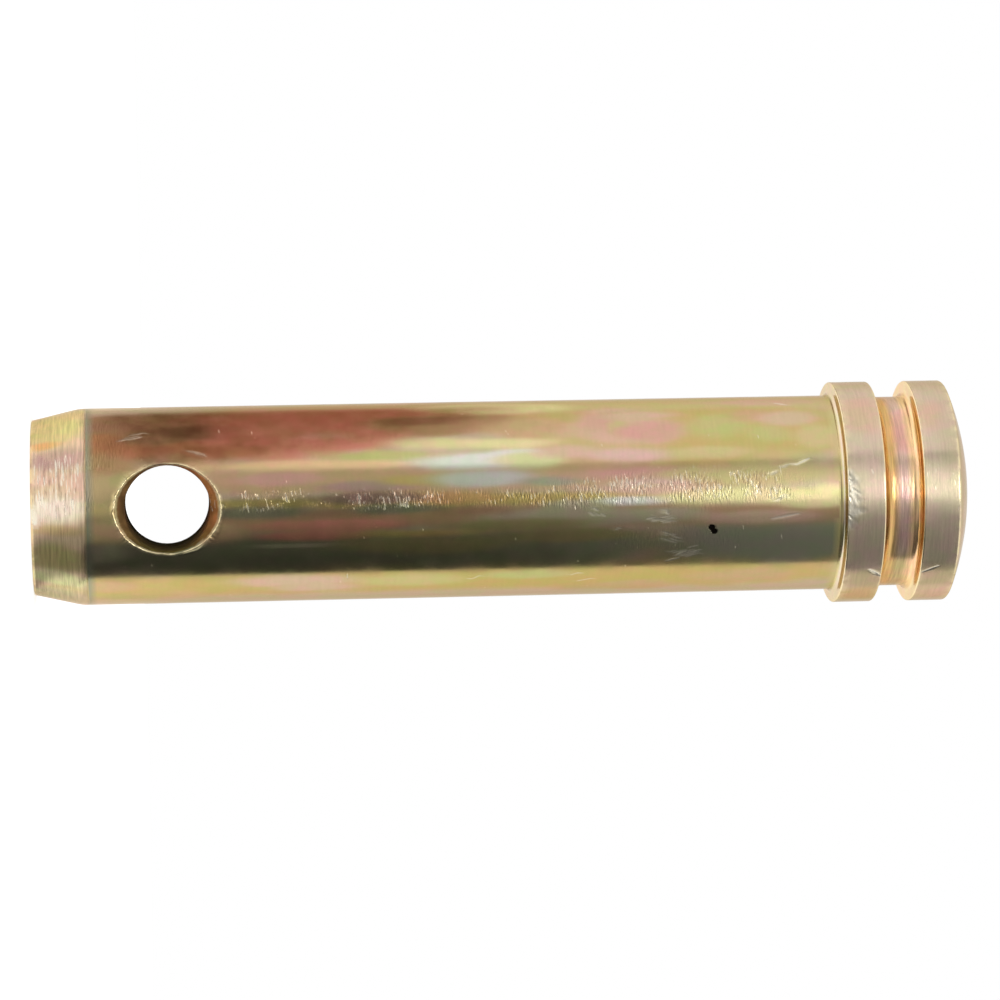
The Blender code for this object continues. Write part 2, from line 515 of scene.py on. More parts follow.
SMEARS = [
    # height and angle of one end, the same of the other end, spread, strokes
    (89.8, -34.6, 95.0, -28.8, 1.0, 20),
    (88.2, -20.0, 91.4, -25.2, 0.8, 10),
    (86.2, -13.0, 90.2, -10.2, 0.7, 9),
    (88.6, -5.0, 89.6, -9.0, 0.5, 4),
    (78.0, -6.0, 80.2, -11.5, 0.8, 4),
    (81.4, -17.4, 83.2, -18.2, 0.5, 2),
    (11.4, 43.0, 17.7, 49.0, 0.8, 4),
    (21.0, 36.0, 26.0, 31.0, 0.5, 4),
    (103.6, 14.0, 107.0, 18.6, 0.5, 4),
    (103.4, -3.5, 106.0, 1.5, 0.5, 5),
    (62.0, 120.0, 68.0, 126.0, 1.4, 6),
    (40.0, -130.0, 46.0, -121.0, 1.2, 6),
    (98.0, -150.0, 93.0, -158.0, 1.0, 6),
]
BRUISE_HEIGHT, BRUISE_ANGLE, BRUISE_HALF_ANGLE = 114.5, -1.5, 16.5
BRUISE_WIDTH = 2.5
BRUISE_REACH = 5.5 * MM
SMEAR_SEED = 7
SMEAR_DEPTH = 0.016
GOUGE_GRAIN = 2600  # how fine the raggedness of a gouge's edge is, per metre
LIP_SHARE = 0.22  # a lip's height as a share of its gouge's depth
BRIGHT_DEPTH = 0.12 * MM  # deeper gouges show barer metal
PIT_HEIGHT, PIT_ANGLE = 95.6 * MM, radians(-18.0)
PIT_DEPTH = 0.26
PIT_REACH = 1.4 * MM
PIT_GRAIN = 3100
PIT_LOBES = [
    # middle along the pin and round it, half length along and round it, all in mm
    (-0.17, 0.24, 0.40, 0.36),
    (0.20, -0.32, 0.37, 0.34),
]


def smear_strokes():
    """Each smear is a bundle of short shallow strokes that run nearly the same way."""
    dice = Random(SMEAR_SEED)
    strokes = []
    for z0, a0, z1, a1, spread, count in SMEARS:
        for _ in range(count):
            start = dice.uniform(0.0, 0.6)
            end = start + dice.uniform(0.25, 0.4)
            dz, da = dice.gauss(0, 0.45) * spread, dice.gauss(0, 1.8) * spread
            half_width = dice.uniform(0.10, 0.26)
            first = (z0 + (z1 - z0) * start + dz, a0 + (a1 - a0) * start + da)
            last = (z0 + (z1 - z0) * end + dz, a0 + (a1 - a0) * end + da)
            strokes.append((*first, *last, half_width, SMEAR_DEPTH))
    return strokes


def on_surface(height, angle, radius):
    """The place at a height and an angle about the pin's axis, at a distance from the axis."""
    return Vector((-radius * sin(angle), -radius * cos(angle), height))


def point_finder(bm):
    """A function that lists the points of the mesh within reach of a place."""
    points = list(bm.verts)
    tree = kdtree.KDTree(len(points))
    for i, v in enumerate(points):
        tree.insert(v.co, i)
    tree.balance()
    return lambda centre, reach: [points[i] for _, i, _ in tree.find_range(centre, reach)]


def refine(bm, zones, cuts):
    """Divides the faces in all zones, each a (centre, reach), and puts the new points on the round."""
    points_near = point_finder(bm)
    chosen = set()
    for centre, reach in zones:
        inside = set(points_near(centre, reach))
        chosen |= {e for v in inside for e in v.link_edges if e.other_vert(v) in inside}
    made = bmesh.ops.subdivide_edges(bm, edges=list(chosen), cuts=cuts, use_grid_fill=True)["geom_inner"]
    half = pi / STEPS
    for v in made:
        if isinstance(v, bmesh.types.BMVert) and v.is_valid:
            offset = (azimuth(v.co) / (2 * half)) % 1.0 - 0.5
            grow = cos(offset * 2 * half) / cos(half)
            v.co.x *= grow
            v.co.y *= grow


def gouge_shape(gouge):
    """The gouge's two ends on the unrolled surface, its middle in space and the radius it lies at."""
    z0, a0, z1, a1 = gouge[:4]
    radius = TIP_END if z0 < 2 else SHANK if z1 < SEAT / MM - 1 else HEAD
    ends = [Vector((radians(angle) * radius, z * MM)) for angle, z in ((a0, z0), (a1, z1))]
    return ends, on_surface((z0 + z1) / 2 * MM, radians((a0 + a1) / 2), radius), radius


def press_gouge(points_near, gouge):
    """Presses one groove into the mesh, deepest in its middle, and marks its metal as fresh."""
    (a, b), middle, radius = gouge_shape(gouge)
    half_width, depth = gouge[4] * MM, gouge[5] * MM
    along = b - a
    for v in points_near(middle, along.length / 2 + 4 * half_width):
        p = Vector((azimuth(v.co) * radius, v.co.z))
        t = min(1.0, max(0.0, (p - a).dot(along) / along.length_squared))
        ragged = 1 + 0.35 * noise.noise(v.co * GOUGE_GRAIN)
        q = (p - a - along * t).length / (half_width * ragged * (0.55 + 0.45 * sin(pi * t)))
        push = depth * (0.45 + 0.55 * sin(pi * t))
        if q < 1.9:
            dent = (1 - q * q) ** 2 if q < 1 else 0.0
            lip = max(0.0, 1 - abs(q - 1.25) / 0.6) * LIP_SHARE
            outward = Vector((v.co.x, v.co.y, 0)).normalized()
            v.co += outward * push * (lip * (radius == SHANK) - dent)
            bright = min(1.0, 0.32 + depth / BRIGHT_DEPTH)
            v[fresh_layer] = max(v[fresh_layer], bright * min(1.0, dent * 1.2 + lip * 1.5))


def press_pit(points_near):
    """A small hole of two round lobes, with a ragged outline."""
    for v in points_near(PIT_MIDDLE, PIT_REACH):
        across = (azimuth(v.co) - PIT_ANGLE) * SHANK / MM
        along = (v.co.z - PIT_HEIGHT) / MM
        near = 9.0
        for lobe_along, lobe_across, half_along, half_across in PIT_LOBES:
            near = min(near, hypot((along - lobe_along) / half_along, (across - lobe_across) / half_across))
        near *= 1 + 0.18 * noise.noise(v.co * PIT_GRAIN)
        inside = min(1.0, max(0.0, (1.15 - near) / 0.36))
        outward = Vector((v.co.x, v.co.y, 0)).normalized()
        v.co -= outward * PIT_DEPTH * MM * inside
        # the pit number later paints the hole near black: painted shade
        v[pit_layer] = min(1.0, max(0.0, (1.42 - near) / 0.18))


def press_bruise(points_near):
    """The collar's leading edge where other pins struck it: crumpled by many slanting blows."""
    for v in points_near(BRUISE_MIDDLE, BRUISE_REACH):
        up = (azimuth(v.co) * 180 / pi - BRUISE_ANGLE) / BRUISE_HALF_ANGLE
        along = v.co.z / MM - BRUISE_HEIGHT
        ragged = 0.9 + 0.5 * noise.noise(Vector((up * 4.0, 3.0, 1.0)))
        reach = BRUISE_WIDTH * sqrt(max(0.0, 1 - up * up)) * ragged
        on_collar = along > -0.05 and hypot(v.co.x, v.co.y) > HEAD - 0.6 * MM
        inside = min(1.0, max(0.0, 0.8 * (reach - along))) * on_collar
        if inside > 0:
            across = up * BRUISE_HALF_ANGLE * 0.28
            over, down = 0.9 * along + 0.42 * across, 0.42 * along - 0.9 * across
            blow = noise.noise(Vector((1.5 * over, 0.42 * down, 5.0)))
            fine = noise.noise(Vector((4.2 * over, 1.1 * down, 9.0)))
            outward = Vector((v.co.x, v.co.y, 0)).normalized()
            v.co -= outward * MM * inside * (0.05 + 0.06 * blow + 0.018 * fine)
            v[fresh_layer] = max(v[fresh_layer], inside * min(1.0, 0.80 + 0.5 * fine))


fresh_layer = bm.verts.layers.float.new("fresh")
pit_layer = bm.verts.layers.float.new("pit")
PIT_MIDDLE = on_surface(PIT_HEIGHT, PIT_ANGLE, SHANK)
BRUISE_MIDDLE = on_surface((BRUISE_HEIGHT + 0.8) * MM, radians(BRUISE_ANGLE), HEAD)
zones = [(PIT_MIDDLE, 1.6 * MM), (BRUISE_MIDDLE, 4.4 * MM)]
knocks = GOUGES + smear_strokes()
for gouge in knocks:
    (a, b), middle, _ = gouge_shape(gouge)
    zones.append((middle, (b - a).length / 2 + 2.6 * gouge[4] * MM))
refine(bm, zones, 3)
refine(bm, [(PIT_MIDDLE, 1.1 * MM)], 1)
points_near = point_finder(bm)
for gouge in knocks:
    press_gouge(points_near, gouge)
press_pit(points_near)
press_bruise(points_near)
bmesh.ops.recalc_face_normals(bm, faces=bm.faces[:])
for face in bm.faces:
    face.smooth = True
    co = face.calc_center_median()
    if face.material_index != DRILLED:
        on_taper = co.z < TAPER_LENGTH + TAPER_BLEND
        in_groove = GROOVE_FRONT < co.z < GROOVE_BACK and hypot(co.x, co.y) < HEAD - 0.4 * MM
        on_head = co.z > SEAT - 0.8 * MM
        face.material_index = FACED if on_taper or in_groove else TURNED if on_head else GROUND
bm.to_mesh(pin_mesh)
open_edges = sum(1 for e in bm.edges if not e.is_manifold)
bm.free()
pin = bpy.data.objects.new("pin", pin_mesh)
bpy.context.collection.objects.link(pin)
triangles = sum(len(p.vertices) - 2 for p in pin_mesh.polygons)
print("pin has", triangles, "triangles and", open_edges, "open edges")

# %% [markdown]
# ## Where the film is thin and where it is thick
# The zinc film's colour comes from its thickness, as on a soap bubble. Smooth noise stands for the
# thickness all over the pin and picks a colour for each point of the mesh from a calm row of straw,
# honey, tan, blush, beige and khaki. Soft patches then set the colour where the photo
# shows a clear one. Their edges fade, because a hard ramp would draw rings round them like islands
# on a map. A patch has a height and an angle, so on the dome it would be a wedge, and the patches
# die out there. Narrow rings colour the corners of the taper, the seat and the groove, where the film
# gathered, and the dark one where the taper meets the shank is a painted reflection. One more number
# marks the bands where other pins have rubbed.

# %% Film colours and rubbed bands on the mesh
PALE, FROST, CREAM, CELERY = (0.60, 0.61, 0.54), (0.74, 0.75, 0.69), (0.80, 0.70, 0.38), (0.70, 0.67, 0.37)
PEACH, PETAL, STRAW, GOLD = (0.78, 0.54, 0.31), (0.71, 0.48, 0.42), (0.62, 0.52, 0.26), (0.57, 0.44, 0.16)
TAN, ORANGE, ROSE, SALMON = (0.60, 0.42, 0.23), (0.69, 0.42, 0.18), (0.68, 0.39, 0.32), (0.67, 0.29, 0.20)
MAUVE, BLUSH, BEIGE, SHELL = (0.50, 0.34, 0.28), (0.68, 0.48, 0.35), (0.60, 0.49, 0.36), (0.78, 0.68, 0.54)
PLUM, CLAY, APRICOT, IVORY = (0.36, 0.24, 0.18), (0.48, 0.37, 0.24), (0.90, 0.60, 0.34), (0.94, 0.76, 0.53)
PUTTY, HONEY, KHAKI, CITRON = (0.65, 0.53, 0.41), (0.50, 0.41, 0.20), (0.50, 0.45, 0.30), (0.61, 0.53, 0.24)
SAGE, LIME, OLIVE, MOSS = (0.40, 0.42, 0.29), (0.55, 0.52, 0.22), (0.38, 0.33, 0.15), (0.27, 0.27, 0.16)
PEWTER, CINNAMON, BROWN = (0.35, 0.35, 0.25), (0.47, 0.30, 0.16), (0.37, 0.21, 0.115)
UMBER, RUST = (0.20, 0.105, 0.055), (0.48, 0.22, 0.115)
ALL_ROUND = 400  # a half angle that reaches all round the pin
FILM_ORDER = (STRAW, HONEY, TAN, BLUSH, BEIGE, KHAKI, STRAW, BLUSH, TAN)
BORE_BROWN, BORE_ORANGE, BORE_OLIVE = (0.22, 0.12, 0.05), (0.46, 0.19, 0.07), (0.17, 0.13, 0.04)
FILM_PATCHES = {"shank": [
    # height in mm, angle in degrees, half height, half angle, colour
    (60, -50, 80, 17, GOLD), (60, -76, 80, 12, BEIGE), (40, -28, 80, 14, MOSS),
    (104, -26, 22, 14, PEWTER), (60, -8, 80, 8, CINNAMON), (60, 15, 80, 9, TAN),
    (60, 2, 80, 4, GOLD), (94, 44, 30, 24, GOLD), (94, 74, 40, 12, STRAW),
    # darker brown side near the tip
    (17, 50, 13, 25, BROWN), (23, 49, 7, 6, UMBER), (13, 36, 6, 6, RUST), (23, 38, 5, 4, RUST),
    (10, 44, 3, 5, RUST), (14, 78, 14, 9, BEIGE),
    (45, 58, 18, 20, SALMON), (33, 38, 8, 13, SALMON), (28, 34, 6, 5, RUST), (58, 54, 10, 7, CINNAMON),
    (56, 55, 6, 4, BROWN), (44, 77, 14, 5, TAN), (41, 38, 9, 5, SALMON),
    # light side towards the head
    (36, 24, 14, 3.5, PEACH), (50, 29, 8, 3.5, LIME), (47, 24, 6, 2.5, PEACH), (58, 37, 7, 5, CREAM),
    (58, 46, 5, 5, CINNAMON),
    (62, 25, 8, 5, FROST), (68, 28, 5, 4.5, FROST), (70, 25, 5, 5, CELERY), (64, 52, 4, 6, CINNAMON),
    (71, 46, 7, 9, TAN), (66, 36, 8, 4, CREAM), (66, 70, 11, 7, CREAM), (76, 30, 5, 5, BLUSH),
    (84, 45, 9, 13, BLUSH), (80, 52, 3.4, 9, ROSE), (83, 46, 1.8, 7, LIME), (87.5, 44, 5.5, 9, ROSE),
    (86, 57, 6, 5, BLUSH),
    (83, 27, 7, 5, PETAL), (97, 46, 5, 12, LIME), (96, 28, 6, 4, STRAW), (102, 56, 3.5, 6, TAN),
    (104, 40, 3.5, 7, LIME), (107, 52, 4.5, 7, BLUSH), (111, 38, 3, 9, STRAW),
    (104, 72, 9, 7, BLUSH),
    # mid band
    (40, 14, 15, 5, TAN), (34, 16, 7, 4, ROSE), (46, 11, 7, 3, MAUVE), (56, 14, 6, 3, GOLD),
    (64, 14, 7, 5, PALE), (73, 12, 5, 3, SAGE), (83, 15, 9, 5, ROSE), (94, 14, 6, 4, STRAW),
    (106, 14, 10, 8, STRAW), (58, 3, 10, 3.5, ORANGE), (84.5, -0.3, 5.5, 2.8, FROST),
    (86, 9, 6, 4, PETAL), (76, -2.5, 4, 4, KHAKI), (46, 4, 9, 3.5, PLUM), (31, -3, 9, 4, MOSS),
    (87, 6, 6, 4, BLUSH),
    (101, 1, 14, 5, CREAM), (110, -3, 5, 4, CREAM), (112, 4, 3, 5, CREAM),
    # dark band
    (51, -2.5, 7, 3, MOSS), (42, -11, 12, 3.5, SALMON), (76, -9, 17, 6, KHAKI), (66, -13, 12, 4, OLIVE),
    (40, -17, 9, 3, SALMON), (54, -17, 8, 3, GOLD), (37, -23, 6, 1.2, KHAKI), (11, 12, 5, 13, HONEY),
    (10, 27, 4, 6, CINNAMON), (12, -9, 5, 8, HONEY), (10, -15, 4, 8, TAN), (10, -26, 4, 7, KHAKI),
    (88, -9, 6, 4, KHAKI), (102, -11, 9, 4, BLUSH),
    (26, -14, 4, 6, TAN), (76, -20, 10, 4, OLIVE), (54, -24, 12, 6, OLIVE),
    # lower light side
    (37, -50, 9, 6, BLUSH), (40, -57, 7, 5, BLUSH), (11, -52, 4, 6, TAN),
    (53, -51, 8, 7, CITRON), (100, -54, 7, 8, TAN), (84, -62, 6, 6, TAN), (70, -48, 7, 4, LIME),
], "tip": [
    (3.4, 0, 9, ALL_ROUND, BLUSH), (3, 76, 6, 10, STRAW), (3, 56, 5, 11, CITRON),
    (1.6, 44, 2.2, 3, ORANGE),
    (3.4, 32, 5, 7, MAUVE), (3.4, 17, 5, 8, BLUSH), (3.4, 1, 5, 9, SHELL), (3.4, -12, 5, 4, TAN),
    (3.4, -29, 5, 12, OLIVE), (3.4, -47, 5, 7, CELERY), (4.5, -57, 4, 5, STRAW), (3.4, -68, 6, 13, KHAKI),
], "head": [
    (122, 0, 30, ALL_ROUND, PUTTY), (117, 46, 5, 12, BLUSH), (128, 46, 5, 10, BLUSH),
    (122, -30, 30, 14, PUTTY),
    (122, -48, 30, 10, CLAY), (117, -66, 5, 9, TAN), (128, -66, 5, 9, BLUSH), (130.5, 40, 2.5, 30, BEIGE),
], "groove": [
    (122.8, 0, 30, ALL_ROUND, PETAL), (122.8, 42, 30, 14, ROSE), (122.8, -50, 30, 14, HONEY),
    (122.8, -74, 30, 12, TAN), (125.1, 0, 0.95, ALL_ROUND, ORANGE), (125.1, -14, 0.95, 34, PEACH),
]}
FILM_AND_REFLECTION_RINGS = [
    # the colour between two heights all round, over the patches; the first ring's dark colour is a painted
    # reflection
    (7.8, 8.3, PEWTER), (113.65, 114.25, STRAW), (114.25, 114.53, SHELL), (119.9, 120.4, IVORY),
    (120.5, 121.7, ORANGE), (123.9, 125.3, APRICOT), (125.3, 125.45, IVORY),
]
RING_EDGE = 0.12  # mm over which a ring's colour fades
FLAT_END = 0.01  # mm: lower than this is the tip's end face
END_RIM, END_FADE = 0.3, 2.5  # mm in from an end's rim where patches start to fade, and for how long
RUB_PATCHES = [
    # height, angle, half height, half angle, how rubbed
    (48, 3, 24, 6, 1.0), (31, 3, 13, 7, 1.0), (37, 6, 7, 5, 1.1), (74, 3, 24, 6, 1.0), (86, 9, 14, 9, 1.0),
    (98, 7, 16, 11, 1.0), (90, -24, 12, 12, 0.35), (3.2, 14, 4.6, 22, 1.15),
    (40, 130, 30, 14, 0.6), (88, -120, 24, 12, 0.6), (60, 178, 40, 10, 0.5), (117, 4, 5, 30, 0.5),
    (128, 0, 5, 30, 0.5),
]
LENGTHWISE = 0.45  # below 1, it stretches the film's clouds along the pin
PATCH_REACH = 2.2  # times its half height, beyond which a patch is left out
BORE_MARGIN = 0.1  # mm round the bore that still have its colour
SKIN_DEPTH = 0.35  # mm under the shank's surface, where the countersink starts


def ease(t):
    """0 below 0, 1 above 1, and a smooth rise between them."""
    t = min(1.0, max(0.0, t))
    return t * t * (3 - 2 * t)


def film_colour(thickness):
    """The colour at a thickness from 0 to 1, between its two neighbours in the order of the colours."""
    place = min(0.9999, max(0.0, thickness)) * (len(FILM_ORDER) - 1)
    step = int(place)
    return Vector(FILM_ORDER[step]).lerp(Vector(FILM_ORDER[step + 1]), place - step)


def soft_patch(z, turned_by, patch, wobble):
    """1 in the middle of a patch, falling to 0 round its edge, which wobbles."""
    height, angle, half_height, half_angle = patch[:4]
    across = (turned_by - angle + 180) % 360 - 180
    reach = hypot((z - height) / half_height, across / half_angle) + wobble
    return 1 / (1 + exp(7 * (reach - 0.92))) if reach < 3 else 0.0


def across_end(p):
    """0 round the pin, rising to 1 across its dome and its tip's end, where a patch would be a wedge."""
    rim = HEAD if p.z > DOME_RIM / MM else TIP_END if p.z < FLAT_END else 0.0
    return ease((rim / MM - hypot(p.x, p.y) - END_RIM) / END_FADE)


def bore_colour(p):
    """The hole's wall: olive below, brown on the tip's side, orange on the head's, and painted shade that
    darkens it deep inside.
    """
    level = (p.z - HOLE_HEIGHT / MM) / (BORE / MM)
    colour = Vector(BORE_BROWN).lerp(Vector(BORE_ORANGE), ease(0.5 + 0.7 * level))
    colour = colour.lerp(Vector(BORE_OLIVE), ease((p.x - 1) / 5))
    colour = colour * (0.85 + 0.5 * noise.noise(Vector((p.x * 0.9, p.y * 0.5, p.z * 0.9))))
    # painted shade: the wall darkens towards the bore's far end
    return colour * (1 - 0.85 * ease((p.y + 4) / 12))


def zone_of(co, p):
    """Which list of patches holds at a place, given in metres and in millimetres."""
    if co.z < TAPER_LENGTH + TAPER_BLEND:
        return "tip"
    if p.z < SEAT / MM - 0.8:
        return "shank"
    in_groove = GROOVE_FRONT < co.z < GROOVE_BACK and hypot(p.x, p.y) < HEAD / MM - 1.2
    return "groove" if in_groove else "head"


def painted(co):
    """The film's colour and the rub number at a place."""
    p = co / MM
    z, turned_by = p.z, azimuth(co) * 180 / pi
    stretched = Vector((p.x, p.y, p.z * LENGTHWISE))
    colour = film_colour(0.45 + 0.55 * noise.noise(stretched / 7.5) + 0.10 * noise.noise(stretched / 2.9))
    wobble = 0.40 * noise.noise(stretched / 5.0 + Vector((9, 4, 2))) + 0.12 * noise.noise(stretched / 1.8)
    zone = zone_of(co, p)
    kept = 1 - across_end(p)
    for patch in FILM_PATCHES[zone]:
        if abs(z - patch[0]) < patch[2] * PATCH_REACH:
            share = kept if patch[3] < ALL_ROUND else 1.0
            colour = colour.lerp(Vector(patch[4]), share * soft_patch(z, turned_by, patch, wobble))
    in_bore = hypot(p.x, p.z - HOLE_HEIGHT / MM) < BORE / MM + BORE_MARGIN
    under_skin = zone == "shank" and hypot(p.x, p.y) < SHANK / MM - SKIN_DEPTH
    if in_bore or under_skin:
        colour = bore_colour(p)
    # the rings' colours; the first, dark one is a painted reflection where the taper meets the shank
    for low, high, ring_colour in FILM_AND_REFLECTION_RINGS:
        inside = min(1.0, max(0.0, 1 + min(z - low, high - z) / RING_EDGE))
        colour = colour.lerp(Vector(ring_colour), inside)
    rub = 0.02 + 0.10 * max(0.0, noise.noise(stretched / 8))
    for patch in RUB_PATCHES:
        rub = max(rub, patch[4] * kept * soft_patch(z, turned_by, patch, wobble))
    return colour, rub


def paint_surface(mesh):
    """Puts the film's colour and the rub number on each point of the mesh."""
    colours, rubs = [], []
    for v in mesh.vertices:
        colour, rub = painted(v.co)
        colours += [*colour, 1.0]
        rubs.append(rub)
    mesh.color_attributes.new("film_with_painted_shade", "FLOAT_COLOR", "POINT").data.foreach_set("color", colours)
    mesh.attributes.new("rub", "FLOAT", "POINT").data.foreach_set("value", rubs)


def mark_edges(mesh):
    """Sharp outer edges, where the film is thin and worn bright."""
    # radius from the axis, height, reach in mm
    worn = [(TIP_END, 0.0, 0.4), (HEAD, SEAT, 0.35), (HEAD, GROOVE_FRONT, 0.3),
            (HEAD, GROOVE_BACK, 0.3), (HEAD, DOME_RIM, 0.34)]
    data = mesh.attributes["edge"].data
    for i, v in enumerate(mesh.vertices):
        r, z = hypot(v.co.x, v.co.y), v.co.z
        for edge_r, edge_z, reach in worn:
            far = hypot(r - edge_r, z - edge_z) / (reach * MM)
            data[i].value = max(data[i].value, min(1.0, max(0.0, 1.4 - far)))


paint_surface(pin_mesh)
mark_edges(pin_mesh)
print("painted film colours, rub and edge numbers on", len(pin_mesh.vertices), "points")

# %% [markdown]
# ## Shader group: the plating's colour
# The mesh carries the broad colours, one for each of its points. This group adds what is finer than
# the mesh: cloudy mottling, which warms or greens the colour a little, and thin lighter and darker bands
# along the tool marks, which paint in the streaks that the marks reflect. All surfaces of the pin share the
# group.

# %% Plating colour group
WARMER = (1.05, 0.96, 0.99, 1.0)
GREENER = (0.96, 1.02, 0.90, 1.0)
# bare metal, also used as a painted glint on the nicks' glitter
BARE_METAL_AND_GLINT = (0.87, 0.81, 0.66, 1.0)
WORN_GOLD = (0.92, 0.78, 0.47, 1.0)
# painted shade between the glittering nicks
GAP_SHADE_BROWN = (0.16, 0.10, 0.07, 1.0)
# near black for the pit: painted shade
PIT_SHADE_BLACK = (0.012, 0.010, 0.008, 1.0)


def new_group(name, inputs, outputs):
    tree = bpy.data.node_groups.new(name, "ShaderNodeTree")
    for label, kind in inputs:
        tree.interface.new_socket(label, in_out="INPUT", socket_type="NodeSocket" + kind)
    for label, kind in outputs:
        tree.interface.new_socket(label, in_out="OUTPUT", socket_type="NodeSocket" + kind)
    return tree, add(tree, "NodeGroupInput").outputs


def stretched_noise(tree, vector, round_scale, along_scale, detail=2.0, roughness=0.5):
    """Noise whose grain runs round the pin where along_scale is the larger."""
    scaled = add(tree, "ShaderNodeMapping", {"Vector": vector}, vector_type="POINT")
    scaled.inputs["Scale"].default_value = (round_scale, round_scale, along_scale)
    made = add(tree, "ShaderNodeTexNoise", {"Vector": scaled.outputs[0], "Scale": 1.0, "Detail": detail})
    made.inputs["Roughness"].default_value = roughness
    return made.outputs["Fac"]


def plating_group():
    inputs = [("Vector", "Vector"), ("Film With Shade", "Color"), ("Bands", "Float")]
    tree, given = new_group("plating_colour", inputs, [("Color", "Color")])
    cloud = stretched_noise(tree, given["Vector"], 420, 260, 4.0, 0.6)
    lines = stretched_noise(tree, given["Vector"], 230, 3900, 2.0)
    mottled = blend(tree, between(tree, cloud, 0.35, 0.65), WARMER, GREENER)
    toned = blend(tree, 1.0, given["Film With Shade"], mottled, "MULTIPLY")
    # painted reflection: lighter and darker streaks along the tool marks
    shade = calc(tree, "MULTIPLY_ADD", calc(tree, "SUBTRACT", lines, 0.5), given["Bands"], 1.0)
    banded = add(tree, "ShaderNodeCombineColor", {"Red": shade, "Green": shade, "Blue": shade})
    add(tree, "NodeGroupOutput", {"Color": blend(tree, 1.0, toned, banded.outputs[0], "MULTIPLY")})
    return tree


plating = plating_group()
print("plating colour:", len(plating.nodes), "nodes")

# %% [markdown]
# ## Shader group: tool marks
# A lathe leaves fine grooves that run round the part, and a drill leaves them round the hole. The
# marks are noise that is stretched twenty to sixty times round the axis, one fine and one coarse.
# The group adds the two by their strengths and gives a height for bump.

# %% Tool mark group


def tool_mark_group():
    inputs = [("Vector", "Vector"), ("Fine", "Float"), ("Coarse", "Float")]
    tree, given = new_group("tool_marks", inputs, [("Height", "Float")])
    fine = stretched_noise(tree, given["Vector"], 160, 9000, 2.0, 0.6)
    coarse = stretched_noise(tree, given["Vector"], 190, 4100, 2.0)
    fine_height = calc(tree, "MULTIPLY", fine, given["Fine"])
    coarse_height = calc(tree, "MULTIPLY", coarse, given["Coarse"])
    add(tree, "NodeGroupOutput", {"Height": calc(tree, "ADD", fine_height, coarse_height)})
    return tree


tool_marks = tool_mark_group()
print("tool marks:", len(tool_marks.nodes), "nodes")

# %% [markdown]
# ## Shader group: nicks and scuffs
# Where pins lie side by side and roll, each rim cuts short nicks across the other's shank. Two
# noises that are stretched round the pin make them. One is dense and shallow and roughens the
# rubbed band, so that it glitters. The other keeps only its peaks: single deeper nicks, which slant
# a little. A third, cloudy noise gathers both into clusters, so that the band isn't as even as a
# comb. Besides the height, the group gives a mask of scraped metal, which on the glittering specks is also
# a painted glint, and a mask of painted shade in the gaps between.

# %% Nick group
NICK_SLANT = radians(9)
NEVER, OFTEN = 0.79, 0.19  # the peak that an unrubbed place would need, and how much rubbing lowers it


def nick_group():
    inputs = [("Vector", "Vector"), ("Rub", "Float"), ("Spread", "Float")]
    tree, given = new_group("nicks", inputs, [("Mask", "Float"), ("Gap", "Float"), ("Height", "Float")])
    dense = stretched_noise(tree, given["Vector"], 1200, 3900, 2.0, 0.5)
    slanting = add(tree, "ShaderNodeVectorRotate", {"Angle": NICK_SLANT}, rotation_type="Y_AXIS")
    feed(tree, slanting.inputs["Vector"], given["Vector"])
    single = stretched_noise(tree, slanting.outputs[0], 560, 2900, 1.0, 0.4)
    cluster = stretched_noise(tree, given["Vector"], 560, 340, 3.0)
    clustered = between(tree, cluster, 0.30, 0.56)
    rubbed = calc(tree, "MULTIPLY", given["Rub"], clustered)
    need = calc(tree, "SUBTRACT", NEVER, calc(tree, "MULTIPLY", rubbed, OFTEN))
    density = calc(tree, "MULTIPLY", given["Rub"], calc(tree, "MAXIMUM", clustered, given["Spread"]))
    peaks = between(tree, calc(tree, "SUBTRACT", single, need), 0.0, 0.05)
    glitter = calc(tree, "MULTIPLY", calc(tree, "SUBTRACT", dense, 0.5), density)
    height = calc(tree, "MULTIPLY_ADD", peaks, -0.5, glitter)
    # bare metal on the scraped nicks, and a painted glint on the glittering specks
    mask = calc(tree, "MAXIMUM", peaks, between(tree, glitter, 0.04, 0.18))
    # painted shade in the gaps beside the glittering specks
    gap = between(tree, glitter, -0.05, -0.16)
    add(tree, "NodeGroupOutput", {"Mask": mask, "Gap": gap, "Height": height})
    return tree


nicks = nick_group()
print("nicks:", len(nicks.nodes), "nodes")

# %% [markdown]
# ## The four surfaces
# The shank is ground smooth, the collar and the domed end keep fine lathe marks, the taper and the
# groove keep coarse ones, and the hole keeps the drill's. All four are the same plated steel, so
# one function wires the shared groups into each material and gives it its own strengths. The hole's
# wall is stained and dull, so it is hardly metallic, and painted shade darkens its colour deep inside.

# %% Materials
GRAZING_TINT = (0.72, 0.63, 0.50, 1.0)


def use_group(tree, group, inputs):
    made = add(tree, "ShaderNodeGroup", node_tree=group)
    for key, value in inputs.items():
        feed(tree, made.inputs[key], value)
    return made.outputs


